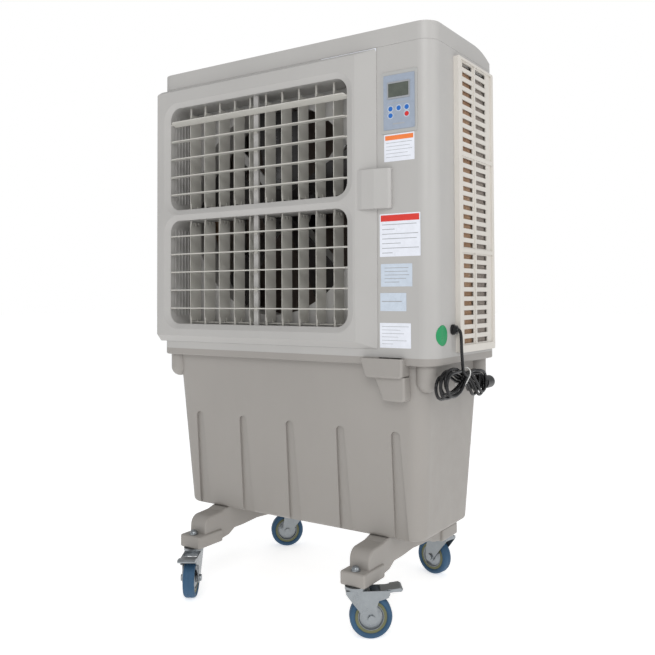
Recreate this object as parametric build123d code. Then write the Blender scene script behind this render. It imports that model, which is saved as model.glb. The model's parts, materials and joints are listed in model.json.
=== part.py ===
"""Portable evaporative cooler on four swivel casters.

The frame: millimetres, +Z up, +Y from the air outlet to the back, the floor at z = 0.
The design is laid out from the middle of the cabinet's front wall and moved so that
the origin lies on the floor below the middle of the whole cooler.
"""
import os
from math import pi, radians, sqrt, tan

from build123d import *

# ---------------------------------------------------------------- driving dimensions
HALF_WIDTH = 438.0          # cabinet, half of its width
DEPTH = 370.0               # cabinet, front wall to rear wall
Z_RIM = 630.0               # underside of the tank's rim
Z_BOTTOM = 648.0            # bottom edge of the housing
Z_SEAM = 1393.0             # joint between the housing and the roof
Z_TOP = 1437.0              # top of the roof
WALL = 3.5                  # housing and roof wall
FRONT_CORNER = 40.0         # the two front vertical corners
REAR_CORNER = 30.0

OUTLET_X = -91.0            # middle of the air outlet
WINDOW_Z = {"upper": 1187.0, "lower": 864.0}
WINDOW_HALF_W = 300.0
WINDOW_HALF_H = 146.5
WINDOW_CORNER = 34.0
BEVEL_W = 19.0              # the bevel widens a window by this much at the front face
BEVEL_H = 14.0
FRAME_FRONT = -16.0         # front face of the outlet frame
EDGE = 2.2                  # thickness of the outlet frame's edge on the housing
DUCT_START = -8.0           # where the bevel ends and the straight duct starts
DUCT_END = 78.0
DUCT_WALL = 3.0

LOUVRES_PER_WINDOW = 5
LOUVRE_PITCH = 50.9
LOUVRE_CHORD = 22.0
LOUVRE_THICK = 3.0
LOUVRE_HALF_L = 296.0
LOUVRE_AXIS_Y = -4.0
LOUVRE_PIN_R = 2.5
TOP_LOUVRE_TILT = 30.0      # the topmost louvre stands open

VANE_COUNT = 10
VANE_PITCH = 54.5
VANE_FRONT = 15.0
VANE_CHORD = 44.0
VANE_THICK = 2.4
VANE_AXIS_Y = 19.0
VANE_LINK_Y = 45.0
VANE_PIN_R = 3.0
LINK_PIN_R = 2.5
LINK_SWEEP = 3.5            # how far a link pin moves along Y over a vane's swing
BLADE_FOOT = 8.0            # a blade's lower edge above the floor of its duct
BLADE_HEAD = {"upper": 17.0, "lower": 3.5}

FIT = 0.05                  # radial clearance of a running fit
GAP = 0.3                   # clearance between moving neighbours

FAN_Z = 1033.0
FAN_R = 284.0
THROAT_R = 290.0
FAN_BLADES = 5

WHEEL_R = 50.0
WHEEL_HALF_W = 16.0
CASTER_TRAIL = 34.5
CASTER_X = 256.5
CASTER_FRONT_Y = -54.0
CASTER_REAR_Y = 424.0
CASTERS = {                 # side, y of the swivel, direction of the trail in degrees, brake
    "front_left": (-1, CASTER_FRONT_Y, -57.0, True),
    "front_right": (1, CASTER_FRONT_Y, 36.4, True),
    "rear_left": (-1, CASTER_REAR_Y, 221.4, False),
    "rear_right": (1, CASTER_REAR_Y, 168.2, False),
}

TANK_FLOOR = 205.0
TANK_WALL = 4.0
FLUTE_PITCH = 157.9
FLUTE_DEPTH = 7.0
BULGE_R = 26.0              # the rounded bulges under the rim's corners
BULGE_X = 398.0
BULGE_Y = 40.0
BULGE_Z = 592.0

CORD_D = 7.5
CORD_ROUTE = [
    (450.0, 96.0, 713.0),
    (456.0, 96.0, 713.0),
    (459.5, 96.4, 706.0),
    (460.5, 97.4, 692.0),
    (460.0, 99.0, 668.0),
    (460.5, 101.5, 643.0),
    (461.0, 103.0, 622.0),
]

CENTRE_Y = 151.0            # middle of the whole cooler, from the cabinet's front wall


# ---------------------------------------------------------------- helpers
def box(x0, x1, y0, y1, z0, z1):
    """A box between two corners."""
    middle = ((x0 + x1) / 2, (y0 + y1) / 2, (z0 + z1) / 2)
    return Pos(*middle) * Box(x1 - x0, y1 - y0, z1 - z0)


def rod(start, end, radius):
    """A round bar between two points."""
    axis = Vector(*end) - Vector(*start)
    plane = Plane(origin=start, z_dir=axis)
    return extrude(plane * Circle(radius), axis.length)


def ball(centre, radius):
    return Pos(*centre) * Sphere(radius)


def facing_front(x, y, z):
    """A sketch plane at a depth y: its x is the cooler's x and its y is up."""
    return Plane(origin=(x, y, z), x_dir=(1, 0, 0), z_dir=(0, -1, 0))


def slab(x, z, half_w, half_h, corner, y0, y1):
    """A rounded rectangle seen from the front, from depth y0 back to y1."""
    outline = facing_front(x, y1, z) * RectangleRounded(2 * half_w, 2 * half_h, corner)
    return extrude(outline, y1 - y0)


def cabinet_plan(inset, z):
    """The cabinet's outline, looking down, drawn in by inset."""
    west = -HALF_WIDTH + inset
    east = HALF_WIDTH - inset
    front = inset
    rear = DEPTH - inset
    sketch = Plane.XY.offset(z) * make_face(
        Polyline((west, front), (east, front), (east, rear), (west, rear), close=True)
    )
    middle = DEPTH / 2
    sketch = fillet([v for v in sketch.vertices() if v.Y < middle], FRONT_CORNER - inset)
    rear_corners = [v for v in sketch.vertices() if v.Y > middle]
    return fillet(rear_corners, REAR_CORNER - inset)


def save(name, shape):
    """Move a sub-part from the layout into the cooler's frame and write it."""
    solids = shape.solids() if hasattr(shape, "solids") else [shape]
    moved = [Pos(0, -CENTRE_Y, 0) * solid for solid in solids]
    for solid in moved:
        solid.label = name
    whole = moved[0] if len(moved) == 1 else Compound(children=moved)
    whole.label = name
    export_step(whole, f"parts/{name}.step")


# ---------------------------------------------------------------- tank
def tank_loft(inset, z0, z1):
    """The tapered tank body between two heights, drawn in by inset."""
    sections = []
    for z in (z0, z1):
        k = (z - TANK_FLOOR) / (Z_RIM - TANK_FLOOR)
        half = 374.0 + 28.0 * k - inset
        front = 50.0 - 28.0 * k + inset
        rear = 336.0 + 26.0 * k - inset
        plane = Plane.XY.offset(z)
        centre = Pos(0, (front + rear) / 2)
        sections.append(plane * centre * RectangleRounded(2 * half, rear - front, 40 - inset))
    return loft(sections)


def front_y(z):
    """How far back the tank's sloping front is at a height."""
    return 50.0 - 28.0 * (z - TANK_FLOOR) / (Z_RIM - TANK_FLOOR)


def flute(x, grow):
    """One tapering recess in the tank's front, enlarged by grow for the inside wall."""
    top = 468.0 + grow
    low = TANK_FLOOR - 9.0 - grow
    left = x - 12.0 - grow
    outline = make_face(
        Polyline(
            (left, low), (left, top), (x + 12.0 + grow, top), (x + 27.0 + grow, low), close=True
        )
    )
    outline = fillet(outline.vertices().group_by(Axis.Y)[-1], 11.0)
    outline = fillet(outline.vertices().group_by(Axis.Y)[0], 4.0)
    depth = FLUTE_DEPTH + grow
    slope = make_face(
        Polyline(
            (-30, 150), (front_y(150) + depth, 150), (front_y(500) + depth, 500), (-30, 500), close=True
        )
    )
    wedge = extrude(Plane(origin=(x - 60, 0, 0), x_dir=(0, 1, 0), z_dir=(1, 0, 0)) * slope, 120)
    return extrude(facing_front(0, 100, 0) * outline, 130) & wedge


def tank():
    body = tank_loft(0, TANK_FLOOR, Z_RIM)
    body = fillet(body.faces().sort_by(Axis.Z)[0].edges(), 12.0)
    cavity = tank_loft(TANK_WALL, TANK_FLOOR + TANK_WALL, Z_RIM + 0.001)
    flutes = [x * FLUTE_PITCH for x in (-2, -1, 0, 1, 2)]
    for x in flutes:
        body -= flute(x, 0)
    for x in flutes:
        cavity -= flute(x, TANK_WALL)
    for side in (-1, 1):
        for y in (BULGE_Y, DEPTH - BULGE_Y):
            foot = (side * BULGE_X, y, BULGE_Z)
            body += rod(foot, (side * BULGE_X, y, Z_RIM), BULGE_R) + ball(foot, BULGE_R)
    rim = extrude(cabinet_plan(0, Z_RIM), Z_BOTTOM - Z_RIM)
    rim = chamfer(rim.faces().sort_by(Axis.Z)[0].edges(), 2.5)
    body += rim
    body += fill_cup()
    body -= cavity
    body -= extrude(Plane.XY.offset(Z_RIM - 2) * Pos(0, 192) * RectangleRounded(788, 324, 33), 22)
    body -= box(291, 353, -12, 8, 608, 660)
    body -= box(291, 353, 0, 40, 608, 626)
    body -= rod((-420, 190, 560), (-380, 190, 560), INLET_SHANK_R + FIT)
    body -= rod((-150, 320, 240), (-150, 360, 240), 12.0 + FIT)
    return body


def fill_cup():
    """The hopper on the tank's front right, where water is poured in by hand."""
    upper = make_face(Polyline((247, 646), (362, 646), (362, 600), (262, 600), close=True))
    upper = fillet(upper.vertices().group_by(Axis.Y)[0], 12.0)
    lower = make_face(Polyline((280, 602), (362, 602), (362, 545), (304, 545), close=True))
    lower = fillet(lower.vertices().group_by(Axis.Y)[0], 9.0)
    cup = soft_front(extrude(facing_front(0, 40, 0) * upper, 58), 645)
    step = soft_front(extrude(facing_front(0, 40, 0) * lower, 46), 601)
    return (cup + step) - tank_loft(1.0, TANK_FLOOR, Z_BOTTOM)


def soft_front(block, below):
    """Round the front edges of a block that lie below a height."""
    edges = block.faces().sort_by(Axis.Y)[0].edges()
    return fillet([e for e in edges if (e @ 0.5).Z < below], 6.0)


# ---------------------------------------------------------------- housing, roof
def housing_shell():
    shell = extrude(cabinet_plan(0, Z_BOTTOM), Z_SEAM - Z_BOTTOM)
    shell -= extrude(cabinet_plan(WALL, Z_BOTTOM), Z_SEAM - Z_BOTTOM)
    shell -= box(-396, 270, -5, 10, 690, 1370)
    shell -= box(306, 395, -5, 10, 1186, 1321)
    for side in (-1, 1):
        x0, x1 = sorted((side * 420, side * 450))
        shell -= box(x0, x1, 132, 318, 672, 1366)
    shell -= box(-372, 372, 350, 380, 672, 1366)
    shell -= rod((420, 96, 713), (445, 96, 713), 8.0)
    return shell


def roof_profile(drop):
    """The roof seen from the side, lowered and drawn in by drop."""
    top = Z_TOP - drop
    crown_r = 250.0 - drop
    end_y = 342.0
    fall = crown_r - sqrt(crown_r**2 - (end_y - 240.0) ** 2)
    arc_mid_y = 293.0
    arc_mid_z = top - crown_r + sqrt(crown_r**2 - (arc_mid_y - 240.0) ** 2)
    flat = Line((-10, top), (240, top))
    arc = ThreePointArc((240, top), (arc_mid_y, arc_mid_z), (end_y, top - fall))
    rest = Polyline((end_y, top - fall), (390, top - fall), (390, 1300), (-10, 1300), (-10, top))
    face = make_face(flat + arc + rest)
    return extrude(Plane(origin=(-500, 0, 0), x_dir=(0, 1, 0), z_dir=(1, 0, 0)) * face, 1000)


def roof_cap():
    outer = extrude(cabinet_plan(0, Z_SEAM), 60) & roof_profile(0)
    lip = outer.faces().sort_by(Axis.Z)[0]
    outer = chamfer(lip.edges(), 1.2)
    inner = extrude(cabinet_plan(WALL, Z_SEAM), 60) & roof_profile(WALL + 1)
    return outer - inner


# ---------------------------------------------------------------- outlet frame
def outlet_frame():
    def rect(x0, x1, z0, z1, y):
        plane = facing_front((x0 + x1) / 2, y, (z0 + z1) / 2)
        return plane * RectangleRounded(x1 - x0, z1 - z0, 5)

    west = -437.5
    front = rect(west, 235.5, 684.3, 1381.4, FRAME_FRONT)
    body = loft([front, rect(west, 289.0, 667.5, 1390.6, -EDGE)])
    body += extrude(rect(west, 289.0, 667.5, 1390.6, 0), EDGE)
    pocket_front = rect(west + 4, 231.0, 690.0, 1376.0, FRAME_FRONT + 4)
    pocket_base = rect(west + 4, 283.0, 673.0, 1385.0, 0.001)
    pocket = loft([pocket_front, pocket_base])
    for z in WINDOW_Z.values():
        pocket -= slab(OUTLET_X, z, WINDOW_HALF_W + 22, WINDOW_HALF_H + 12, 50, -20, 5)
    body -= pocket
    body += box(west, 2 - HALF_WIDTH + FRONT_CORNER, 0, 26, 672, 1388) - extrude(cabinet_plan(0, 600), 800)
    for z in WINDOW_Z.values():
        outer_w = WINDOW_HALF_W + DUCT_WALL
        outer_h = WINDOW_HALF_H + DUCT_WALL
        body += slab(OUTLET_X, z, outer_w, outer_h, WINDOW_CORNER + DUCT_WALL, -12, DUCT_END)
    body += wire_cover()
    for z in WINDOW_Z.values():
        body -= slab(OUTLET_X, z, WINDOW_HALF_W, WINDOW_HALF_H, WINDOW_CORNER, -20, DUCT_END + 1)
        mouth = facing_front(OUTLET_X, FRAME_FRONT - 0.01, z) * RectangleRounded(
            2 * (WINDOW_HALF_W + BEVEL_W), 2 * (WINDOW_HALF_H + BEVEL_H), 50
        )
        throat = facing_front(OUTLET_X, DUCT_START, z) * RectangleRounded(
            2 * WINDOW_HALF_W, 2 * WINDOW_HALF_H, WINDOW_CORNER
        )
        body -= loft([mouth, throat])
        body += box(OUTLET_X - 7.5, OUTLET_X + 7.5, 8.5, 14, z - WINDOW_HALF_H - 1, z + WINDOW_HALF_H + 1)
        for louvre_z in louvre_heights(z):
            for side in (-1, 1):
                x0 = OUTLET_X + side * (WINDOW_HALF_W - 2)
                x1 = OUTLET_X + side * (WINDOW_HALF_W + DUCT_WALL + 2)
                body -= rod((x0, LOUVRE_AXIS_Y, louvre_z), (x1, LOUVRE_AXIS_Y, louvre_z), LOUVRE_PIN_R + FIT)
    for x in vane_places():
        for z in WINDOW_Z.values():
            for wall in (z - WINDOW_HALF_H - DUCT_WALL, z + WINDOW_HALF_H):
                body -= rod((x, VANE_AXIS_Y, wall - 1), (x, VANE_AXIS_Y, wall + DUCT_WALL + 1), VANE_PIN_R + FIT)
    floor = WINDOW_Z["lower"] - WINDOW_HALF_H
    return body - rod((OUTLET_X, CRANK_Y, floor - 5), (OUTLET_X, CRANK_Y, floor + 2), 4.0)


def wire_cover():
    """The moulded block on the frame's right side that covers the louvre motor's wire."""
    outline = make_face(
        Polyline(
            (240, 0), (240, -14), (256, -18), (290, -18), (324, -11), (331, -8), (331, 0), close=True
        )
    )
    block = extrude(Plane.XY.offset(1002) * outline, 95)
    return fillet(block.edges().filter_by(Axis.Z).sort_by(Axis.X)[-3:-1], 2.0)


def louvre_heights(window_z):
    middle = (LOUVRES_PER_WINDOW - 1) / 2
    return [window_z + (i - middle) * LOUVRE_PITCH for i in range(LOUVRES_PER_WINDOW)]


def vane_places():
    middle = (VANE_COUNT - 1) / 2
    return [OUTLET_X + (i - middle) * VANE_PITCH for i in range(VANE_COUNT)]


def louvre(z, tilt):
    """A horizontal louvre on its two end pins."""
    half = LOUVRE_CHORD / 2
    blade = Box(2 * LOUVRE_HALF_L, LOUVRE_CHORD, LOUVRE_THICK)
    ends = blade.edges().filter_by(Axis.Z).group_by(Axis.Y)[0]
    blade = fillet(ends, 9.0)
    blade = fillet(blade.edges().filter_by(Axis.X), LOUVRE_THICK / 2 - 0.1)
    reach = WINDOW_HALF_W + DUCT_WALL - 0.2
    for side in (-1, 1):
        blade += rod((side * (LOUVRE_HALF_L - half), 0, 0), (side * reach, 0, 0), LOUVRE_PIN_R)
    return Pos(OUTLET_X, LOUVRE_AXIS_Y, z) * Rot(-tilt, 0, 0) * blade


def vane(x):
    """A vertical vane: an upper and a lower blade on one spindle."""
    spindle_ends = [WINDOW_Z["lower"] - WINDOW_HALF_H - DUCT_WALL + 0.2]
    half = VANE_THICK / 2
    blades = []
    for window in ("lower", "upper"):
        z = WINDOW_Z[window]
        low = z - WINDOW_HALF_H + BLADE_FOOT
        high = z + WINDOW_HALF_H - BLADE_HEAD[window]
        blade = box(x - half, x + half, VANE_FRONT, VANE_FRONT + VANE_CHORD, low, high)
        blade = fillet(blade.edges().filter_by(Axis.X), 5.0)
        if window == "lower":
            for y in (VANE_FRONT + 15, VANE_FRONT + 28):
                blade -= box(x - 5, x + 5, y, y + 5, high - 9, high + 1)
        blade += rod((x, VANE_LINK_Y, low - BLADE_FOOT + 1), (x, VANE_LINK_Y, low + 8), LINK_PIN_R)
        blades.append(blade)
        spindle_ends += [low + 10, high - 10]
    spindle_ends.append(WINDOW_Z["upper"] + WINDOW_HALF_H + DUCT_WALL - 0.2)
    shape = blades[0] + blades[1]
    for start, end in zip(spindle_ends[::2], spindle_ends[1::2]):
        shape += rod((x, VANE_AXIS_Y, start), (x, VANE_AXIS_Y, end), VANE_PIN_R)
    return shape


def vane_link():
    """Two bars that turn all the vanes together; their holes are slots along Y."""
    first = vane_places()[0]
    last = vane_places()[-1]
    slot = SlotOverall(LINK_SWEEP + 2 * (LINK_PIN_R + 1), 2 * (LINK_PIN_R + GAP), rotation=90)
    bars = []
    for z in WINDOW_Z.values():
        low = z - WINDOW_HALF_H + 3
        bar = box(first - 12, last + 12, VANE_LINK_Y - 11, VANE_LINK_Y + 9, low, low + 3)
        for x in vane_places():
            bar -= extrude(Plane(origin=(x, VANE_LINK_Y - LINK_SWEEP / 2, low - 1)) * slot, 6)
        bars.append(bar)
    return Compound(children=bars)


CRANK_Y = 66.0


def swing_motor():
    """The small geared motor under the lower duct that drives the link bars."""
    base = WINDOW_Z["lower"] - WINDOW_HALF_H - DUCT_WALL
    body = rod((OUTLET_X, CRANK_Y, base - 20), (OUTLET_X, CRANK_Y, base), 15)
    body += box(OUTLET_X - 25, OUTLET_X + 25, CRANK_Y - 6, CRANK_Y + 6, base - 3, base)
    return body + rod((OUTLET_X, CRANK_Y, base - 1), (OUTLET_X, CRANK_Y, base + 9), 3)


# ---------------------------------------------------------------- control panel
KEY_R = 6.0
KEYS = {
    "key_power": (371.5, 1222.0),
    "key_speed": (328.2, 1238.0),
    "key_swing": (350.2, 1238.0),
    "key_cool": (371.5, 1238.0),
    "key_timer": (328.2, 1222.0),
}


def control_panel():
    bezel = box(302, 399, -2, 0, 1180, 1327)
    bezel = fillet(bezel.edges().filter_by(Axis.Y), 4.0)
    face = box(308, 393, -2, 1.0, 1188, 1319)
    back = box(308, 393, 1.0, 50, 1188, 1319) - box(310, 391, 1.0, 48, 1190, 1317)
    panel = bezel + face + back
    panel -= box(323.2, 377, -3, -0.8, 1265.4, 1297.8)
    for x, z in KEYS.values():
        panel -= rod((x, -4, z), (x, 2, z), KEY_R + FIT)
    return panel


def key(x, z):
    """A push key: a domed cap, held behind the panel by its collar."""
    cap = rod((x, -3.0, z), (x, 2.5, z), KEY_R)
    cap = fillet(cap.faces().sort_by(Axis.Y)[0].edges(), 0.8)
    return cap + rod((x, 1.0 + GAP, z), (x, 2.5, z), KEY_R + 1.2)


# ---------------------------------------------------------------- pads and their frames
SECTION_Z = (786.5, 1022.5, 1258.5)
SLOT_PITCH = 23.0
SLOTS_PER_SECTION = 10
SLOT_HALF = 6.0
SECTION_HALF = 113.0        # half height of a section's recess


def slot_heights():
    middle = (SLOTS_PER_SECTION - 1) / 2
    return [z + (i - middle) * SLOT_PITCH for z in SECTION_Z for i in range(SLOTS_PER_SECTION)]


SLOT_COLUMNS = ((146, 206), (225, 292))   # along Y, on the sides


def side_pad_frame(side):
    """A side intake grille: three sections of ten slots in two columns."""
    face = HALF_WIDTH + 9
    proud = HALF_WIDTH + 13
    frame = box(HALF_WIDTH, proud, 115, 335, 656, 1378)
    frame = fillet(frame.edges().filter_by(Axis.X), 4.0)
    frame -= box(HALF_WIDTH - 1, face - 3, 122, 328, 663, 1371)
    for z in SECTION_Z:
        frame -= box(face, proud + 1, 130, 322, z - SECTION_HALF, z + SECTION_HALF)
    cuts = [
        box(HALF_WIDTH - 1, proud + 1, y0, y1, z - SLOT_HALF, z + SLOT_HALF)
        for z in slot_heights()
        for y0, y1 in SLOT_COLUMNS
    ]
    frame -= cuts
    frame += box(face, proud - 1, 212, 219, SECTION_Z[0] - SECTION_HALF, SECTION_Z[-1] + SECTION_HALF)
    return frame if side > 0 else mirror(frame, Plane.YZ)


def rear_pad_frame():
    """The rear intake grille, eight columns wide."""
    frame = box(-396, 396, DEPTH, DEPTH + 10, 656, 1378)
    frame = fillet(frame.edges().filter_by(Axis.Y), 4.0)
    frame -= box(-389, 389, DEPTH - 1, DEPTH + 6, 663, 1371)
    cuts = [
        box(x - 36, x + 36, DEPTH - 1, DEPTH + 11, z - 6, z + 6)
        for z in slot_heights()
        for x in [(i - 3.5) * 92 for i in range(8)]
    ]
    frame -= cuts
    for z in (904.5, 1140.5):
        frame += box(-392, 392, DEPTH + 6, DEPTH + 11.5, z - 3, z + 3)
    return frame


def cooling_pads():
    right = box(388, HALF_WIDTH + 3, 136, 314, 676, 1362)
    left = mirror(right, Plane.YZ)
    rear = box(-380, 380, 318, DEPTH - WALL, 664, 1370)
    return Compound(children=[left, right, rear])


# ---------------------------------------------------------------- fan
def fan_shroud():
    plate_y = 84.0
    throat_end = 168.0
    plate = box(-HALF_WIDTH + 5, HALF_WIDTH - 42, plate_y, plate_y + 3, 652, 1388)
    plate -= rod((OUTLET_X, plate_y - 5, FAN_Z), (OUTLET_X, plate_y + 9, FAN_Z), THROAT_R + 1)
    ring = rod((OUTLET_X, plate_y, FAN_Z), (OUTLET_X, throat_end, FAN_Z), THROAT_R + 3)
    ring -= rod((OUTLET_X, plate_y - 1, FAN_Z), (OUTLET_X, throat_end + 1, FAN_Z), THROAT_R)
    shroud = plate + ring
    arm = box(-THROAT_R - 2, THROAT_R + 2, 168, 174, -11, 11)
    for angle in (45, 135):
        shroud += Pos(OUTLET_X, 0, FAN_Z) * Rot(0, angle, 0) * arm
    shroud += rod((OUTLET_X, 168, FAN_Z), (OUTLET_X, 174, FAN_Z), 66)
    return shroud - rod((OUTLET_X, 160, FAN_Z), (OUTLET_X, 180, FAN_Z), 12)


def fan():
    """An axial fan: a hub and five twisted blades."""
    hub = rod((0, 100, 0), (0, 150, 0), 60)
    hub = fillet(hub.edges().filter_by(GeomType.CIRCLE), 8.0)
    blade = blade_shape()
    rotor = hub
    for i in range(FAN_BLADES):
        rotor += Rot(0, i * 360 / FAN_BLADES, 0) * blade
    rotor -= rod((0, 90, 0), (0, 160, 0), 8.0 + FIT)
    return Pos(OUTLET_X, 0, FAN_Z) * rotor


def blade_shape():
    sections = []
    for radius, chord, pitch in ((52, 74, 42), (165, 118, 30), (FAN_R - 4, 150, 20)):
        plane = Plane(origin=(0, 125, radius), x_dir=(1, 0, 0), z_dir=(0, 0, 1))
        plane = plane.rotated((0, 0, pitch))
        sections.append(plane * RectangleRounded(chord, 3.2, 1.5))
    return loft(sections) & rod((0, 80, 0), (0, 170, 0), FAN_R)


def fan_motor():
    body = rod((OUTLET_X, 174, FAN_Z), (OUTLET_X, 272, FAN_Z), 62)
    body = fillet(body.faces().sort_by(Axis.Y)[-1].edges(), 10.0)
    return body + rod((OUTLET_X, 98, FAN_Z), (OUTLET_X, 176, FAN_Z), 8.0)


# ---------------------------------------------------------------- water side
PUMP_X = 300.0
PUMP_Y = 112.0


def pump():
    floor = TANK_FLOOR + TANK_WALL
    body = rod((PUMP_X, PUMP_Y, floor), (PUMP_X, PUMP_Y, floor + 60), 38)
    body += rod((PUMP_X, PUMP_Y, floor + 60), (PUMP_X, PUMP_Y, floor + 105), 26)
    return body


def water_pipe():
    """The riser from the pump and the distributor over the three pads."""
    top = 1379.0
    path = [
        (PUMP_X, PUMP_Y, TANK_FLOOR + TANK_WALL + 105),
        (PUMP_X, PUMP_Y, top),
        (411, PUMP_Y, top),
        (411, 342, top),
        (-411, 342, top),
        (-411, 126, top),
    ]
    pipe = rod(path[0], path[1], 8)
    for start, end in zip(path[1:-1], path[2:]):
        pipe += ball(start, 8) + rod(start, end, 8)
    return pipe


INLET_R = 10.0
INLET_SHANK_R = 9.0


def float_valve():
    body = rod((-425, 190, 560), (-402, 190, 560), INLET_R)
    body += rod((-402, 190, 560), (-398.6, 190, 560), 15)
    body += rod((-399, 190, 560), (-375, 190, 560), INLET_SHANK_R)
    body += box(-391, -352, 178, 202, 548, 572)
    body += box(-352, -338, 178, 182, 552, 568) + box(-352, -338, 198, 202, 552, 568)
    return body - rod((-344, 170, 560), (-344, 210, 560), 2.5 + FIT)


def float_arm():
    """The float on its arm, hanging at its lower stop."""
    arm = rod((0, 0, 0), (150, 0, 0), 3) + rod((0, -11.6, 0), (0, 11.6, 0), 2.5)
    arm += rod((0, -6, 0), (0, 6, 0), 6) + ball((165, 0, 0), 32)
    return Pos(-344, 190, 560) * Rot(0, 22, 0) * arm


DRAIN_R = 9.5


def drain_spout():
    body = rod((-150, 326, 240), (-150, 352, 240), 12)
    body += rod((-150, 343, 240), (-150, 350, 240), 18)
    body += rod((-150, 350, 240), (-150, 378, 240), DRAIN_R)
    return body - rod((-150, 320, 240), (-150, 380, 240), 6.5)


# ---------------------------------------------------------------- legs and casters
LEG_HALF_W = 28.0
FOOT_HALF_W = 34.0
FOOT_TOP = 153.0
FOOT_BOTTOM = 120.0


def leg_beam(side):
    """One gooseneck beam under the tank, with a foot block at each end."""
    mirror_y = DEPTH / 2
    half = [
        (-68, FOOT_BOTTOM + 3), (-68, FOOT_TOP - 3), (-39, FOOT_TOP), (-37, 196), (30, 200), (48, TANK_FLOOR),
    ]
    under = [(24, FOOT_BOTTOM + 3), (60, 128), (84, 141), (124, 141)]
    top = half + [(2 * mirror_y - y, z) for y, z in reversed(half)]
    bottom = [(2 * mirror_y - y, z) for y, z in under] + [(mirror_y, 145)] + under[::-1]
    outline = make_face(Polyline(*top, *bottom, close=True))
    shoulders = [v for v in outline.vertices() if 190 < v.Y < 198]
    outline = fillet(shoulders, 26.0)
    elbows = [v for v in outline.vertices() if 125 < v.Y < 143]
    outline = fillet(elbows, 12.0)
    plane = Plane(origin=(side * CASTER_X - LEG_HALF_W, 0, 0), x_dir=(0, 1, 0), z_dir=(1, 0, 0))
    beam = extrude(plane * outline, 2 * LEG_HALF_W)
    x = side * CASTER_X
    long_edges = beam.edges().filter_by(lambda e: abs(e.tangent_at(0.5).X) < 0.01)
    outer = [e for e in long_edges if abs(abs((e @ 0.5).X - x) - LEG_HALF_W) < 0.01]
    outer = [e for e in outer if (e @ 0.5).Z < TANK_FLOOR - 1]
    beam = fillet(outer, 5.0)
    for y0, y1 in ((-71, 26), (DEPTH - 26, DEPTH + 71)):
        foot = box(x - FOOT_HALF_W, x + FOOT_HALF_W, y0, y1, FOOT_BOTTOM, FOOT_TOP)
        beam += fillet(foot.edges(), 5.0)
    beam -= box(x - 24, x + 24, 92, 278, 100, 197)
    for y in (CASTER_FRONT_Y, CASTER_REAR_Y):
        beam -= rod((x, y, 100), (x, y, 160), 6.0 + FIT)
    return beam


def caster_bolts():
    """The four caster bolts with their dome heads, top races and lower nuts."""
    bolts = []
    for side, y, _, _ in CASTERS.values():
        x = side * CASTER_X
        head = Pos(x, y, FOOT_TOP + 3) * Sphere(10) & box(x - 20, x + 20, y - 20, y + 20, FOOT_TOP + 3, 180)
        bolt = rod((x, y, FOOT_TOP + 1), (x, y, FOOT_TOP + 3), 11.5) + head
        bolt += rod((x, y, 97), (x, y, FOOT_TOP + 2), 6)
        bolt += rod((x, y, 113), (x, y, FOOT_BOTTOM), 26) + rod((x, y, 97), (x, y, 104.7), 10)
        bolts.append(bolt)
    return Compound(children=bolts)


def at_caster(side, y, trail, shape):
    """Put a shape drawn in a caster's own frame (x along its trail) in its place."""
    return Pos(side * CASTER_X, y, 0) * Rot(0, 0, trail) * shape


def side_plate(points, v0, v1):
    """A pressed side plate, drawn in the plane of the wheel."""
    plane = Plane(origin=(0, v1, 0), x_dir=(1, 0, 0), z_dir=(0, -1, 0))
    face = make_face(Polyline(*points, close=True))
    face = fillet([v for v in face.vertices() if v.Y < 104], 3.0)
    return extrude(plane * face, v1 - v0)


def caster_fork(brake):
    lower = [(-20, 100), (-6, 82), (20, 50), (25, 39), (35, 35.5), (46, 40), (49, 52), (47, 76)]
    if brake:
        outline = [(-24, 112.7), (-24, 106)] + lower + [(52, 90), (74, 96), (78, 104), (78, 112.7)]
    else:
        outline = [(-24, 112.7), (-24, 106)] + lower + [(44, 96), (34, 112.7)]
    fork = side_plate(outline, 19, 22) + side_plate(outline, -22, -19)
    crown = box(-24, 32, -22, 22, 105, 112.7)
    fork += crown
    fork -= rod((0, 0, 100), (0, 0, 120), 6.0 + FIT)
    fork -= rod((CASTER_TRAIL, -30, WHEEL_R), (CASTER_TRAIL, 30, WHEEL_R), 5.02)
    if brake:
        fork -= rod((60, -30, 106), (60, 30, 106), 3 + FIT)
    axle = rod((CASTER_TRAIL, -27, WHEEL_R), (CASTER_TRAIL, 27, WHEEL_R), 5.0)
    for v0, v1 in ((22, 27), (-27, -22)):
        axle += rod((CASTER_TRAIL, v0, WHEEL_R), (CASTER_TRAIL, v1, WHEEL_R), 8.5)
    return Compound(children=[fork, axle])


def caster_wheel():
    """A rubber tyre on a pressed rim."""
    tyre = rod((0, -WHEEL_HALF_W, 0), (0, WHEEL_HALF_W, 0), WHEEL_R)
    tyre = fillet(tyre.edges().filter_by(GeomType.CIRCLE), 7.0)
    tyre -= rod((0, -20, 0), (0, 20, 0), 37.0)
    rim = rod((0, -12, 0), (0, 12, 0), 37.0) + rod((0, -18, 0), (0, 18, 0), 11.0)
    rim += rod((0, -15.5, 0), (0, 15.5, 0), 25.0)
    rim -= rod((0, -20, 0), (0, 20, 0), 5.0 + FIT)
    both = Compound(children=[tyre, rim])
    return Pos(CASTER_TRAIL, 0, WHEEL_R) * both


def brake_pedal():
    """The pedal that locks a front caster, raised."""
    points = [(56, 102), (66, 99.5), (77, 107), (104, 110.5), (108, 115.5), (102, 119), (76, 115), (57, 112)]
    plane = Plane(origin=(0, 18.6, 0), x_dir=(1, 0, 0), z_dir=(0, -1, 0))
    face = make_face(Polyline(*points, close=True))
    body = extrude(plane * face, 37.2)
    tread = Plane(origin=(0, 23, 0), x_dir=(1, 0, 0), z_dir=(0, -1, 0))
    lip = make_face(Polyline((80, 110), (104, 110.5), (108, 115.5), (102, 119), (80, 116), close=True))
    body += extrude(tread * lip, 46)
    return body + rod((60, -21.8, 106), (60, 21.8, 106), 3)


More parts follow.
